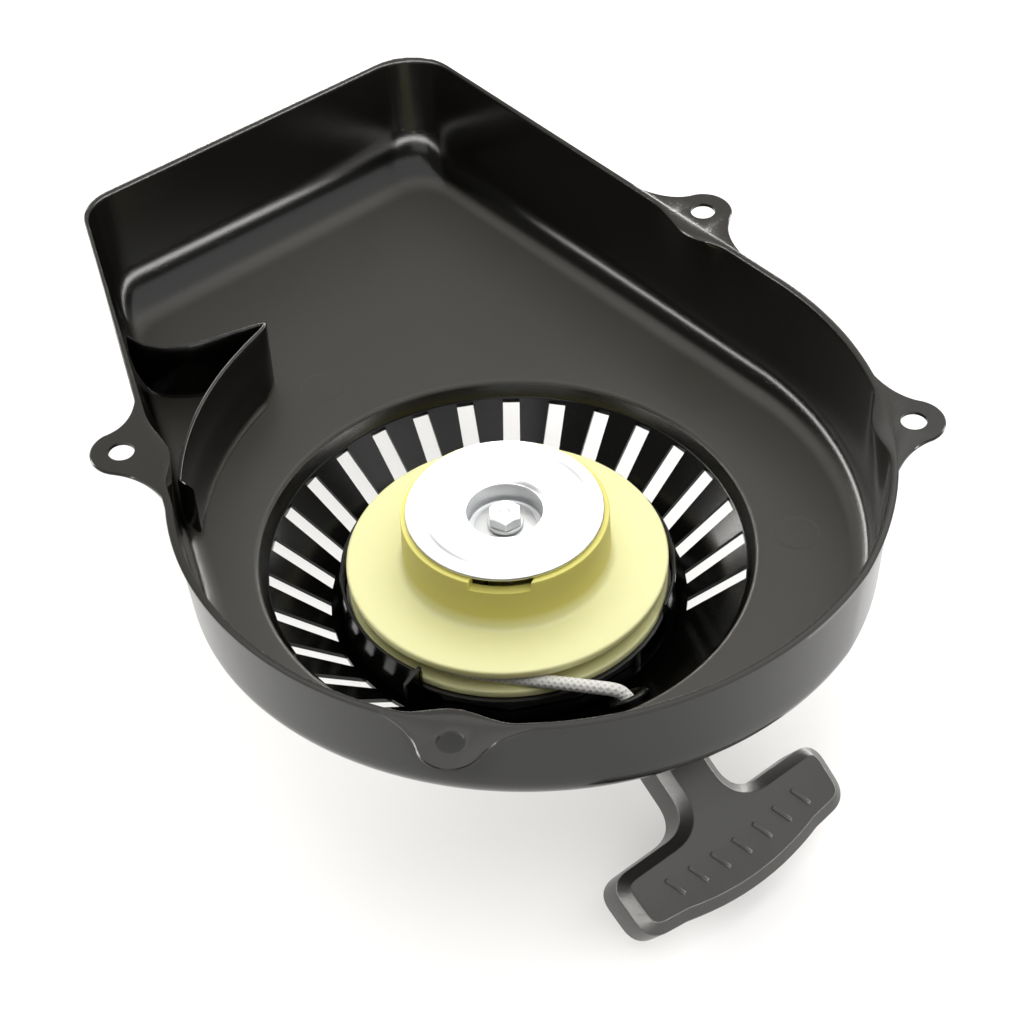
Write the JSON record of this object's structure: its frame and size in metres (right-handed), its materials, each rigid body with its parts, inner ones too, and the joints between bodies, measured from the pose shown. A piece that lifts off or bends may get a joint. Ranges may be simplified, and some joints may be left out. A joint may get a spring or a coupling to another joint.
{
  "type": "recoil starter",
  "caption": "Pull-rope recoil starter for a small engine: pressed fan housing with slotted bowl, sprung rope reel with pawls, centre bolt and T handle.",
  "frame": {"origin": "centre of the crank axis on the flat outer face of the starter bowl", "axes": "+Z along the crank axis towards the engine; +Y towards the drawn-out corner over the cylinder; +X right, seen from the engine side"},
  "size_m": [0.2681, 0.3318, 0.0964],
  "materials": {
    "fan_housing": "semi-gloss black baked paint on pressed steel",
    "air_guide": "semi-gloss black baked paint on bent steel sheet",
    "reel_case": "black painted pressed steel",
    "centre_post": "drawn steel",
    "reel_bushing": "white nylon",
    "recoil_spring": "blued spring strip, lightly greased",
    "spring_anchor": "steel pin",
    "spring_cover": "dark steel disc",
    "rope_guide": "black enamelled steel eyelet",
    "rope_lead": "braided off-white polyester cord",
    "brake_washer": "dished steel washer",
    "lock_washer": "zinc plated steel washer",
    "centre_bolt": "zinc plated steel",
    "reel": "moulded cream nylon, slightly translucent",
    "rope_winding": "turns of braided off-white polyester cord",
    "anchor_knot": "braided off-white polyester cord",
    "guide_plate": "bright zinc plated pressed steel",
    "handle_grip": "satin charcoal moulded grip with a fine pebble",
    "knot_washer": "zinc plated steel washer",
    "handle_knot": "braided off-white polyester cord",
    "rope_tail": "braided off-white polyester cord",
    "pawl_1": "bright plated steel",
    "pawl_pin_1": "steel pin",
    "pawl_spring_1": "spring wire",
    "pawl_2": "bright plated steel",
    "pawl_pin_2": "steel pin",
    "pawl_spring_2": "spring wire"
  },
  "bodies": {
    "housing": {"fan_housing": "fan_housing", "air_guide": "air_guide", "reel_case": "reel_case", "centre_post": "centre_post", "reel_bushing": "reel_bushing", "recoil_spring": "recoil_spring", "spring_anchor": "spring_anchor", "spring_cover": "spring_cover", "rope_guide": "rope_guide", "rope_lead": "rope_lead", "brake_washer": "brake_washer", "lock_washer": "lock_washer", "centre_bolt": "centre_bolt"},
    "reel": {"reel": "reel", "rope_winding": "rope_winding", "anchor_knot": "anchor_knot", "pawl_pin_1": "pawl_pin_1", "pawl_spring_1": "pawl_spring_1", "pawl_pin_2": "pawl_pin_2", "pawl_spring_2": "pawl_spring_2"},
    "pawl_1": {"pawl_1": "pawl_1"},
    "pawl_2": {"pawl_2": "pawl_2"},
    "guide_plate": {"guide_plate": "guide_plate"},
    "handle": {"handle_grip": "handle_grip", "knot_washer": "knot_washer", "handle_knot": "handle_knot", "rope_tail": "rope_tail"}
  },
  "joints": [
    {"name": "reel_spin", "type": "hinge", "parent": "housing", "child": "reel", "pos_m": [0, 0, 0.02], "axis": [0, 0, 1], "range_deg": [0, 1800], "stiffness_Nm_per_rad": 0.02, "springref_deg": -343.77},
    {"name": "handle_pull", "type": "slide", "parent": "housing", "child": "handle", "axis": [0.5104, -0.6533, -0.5592], "range_m": [0, 1.1]},
    {"name": "plate_slip", "type": "hinge", "parent": "reel", "child": "guide_plate", "pos_m": [0, 0, 0.041], "axis": [0, 0, 1], "range_deg": [-28, 0], "stiffness_Nm_per_rad": 0.005, "springref_deg": 11.46},
    {"name": "pawl_1_swing", "type": "hinge", "parent": "reel", "child": "pawl_1", "pos_m": [-0.00937, -0.01879, 0.035], "axis": [0, 0, 1], "range_deg": [-30, 0]},
    {"name": "pawl_2_swing", "type": "hinge", "parent": "reel", "child": "pawl_2", "pos_m": [0.00937, 0.01879, 0.035], "axis": [0, 0, 1], "range_deg": [-30, 0]}
  ],
  "couplings": [
    {"joint": "handle_pull", "follows": "reel_spin", "m_per_rad": 0.0345},
    {"joint": "pawl_1_swing", "follows": "plate_slip", "ratio": 1.07},
    {"joint": "pawl_2_swing", "follows": "plate_slip", "ratio": 1.07}
  ]
}
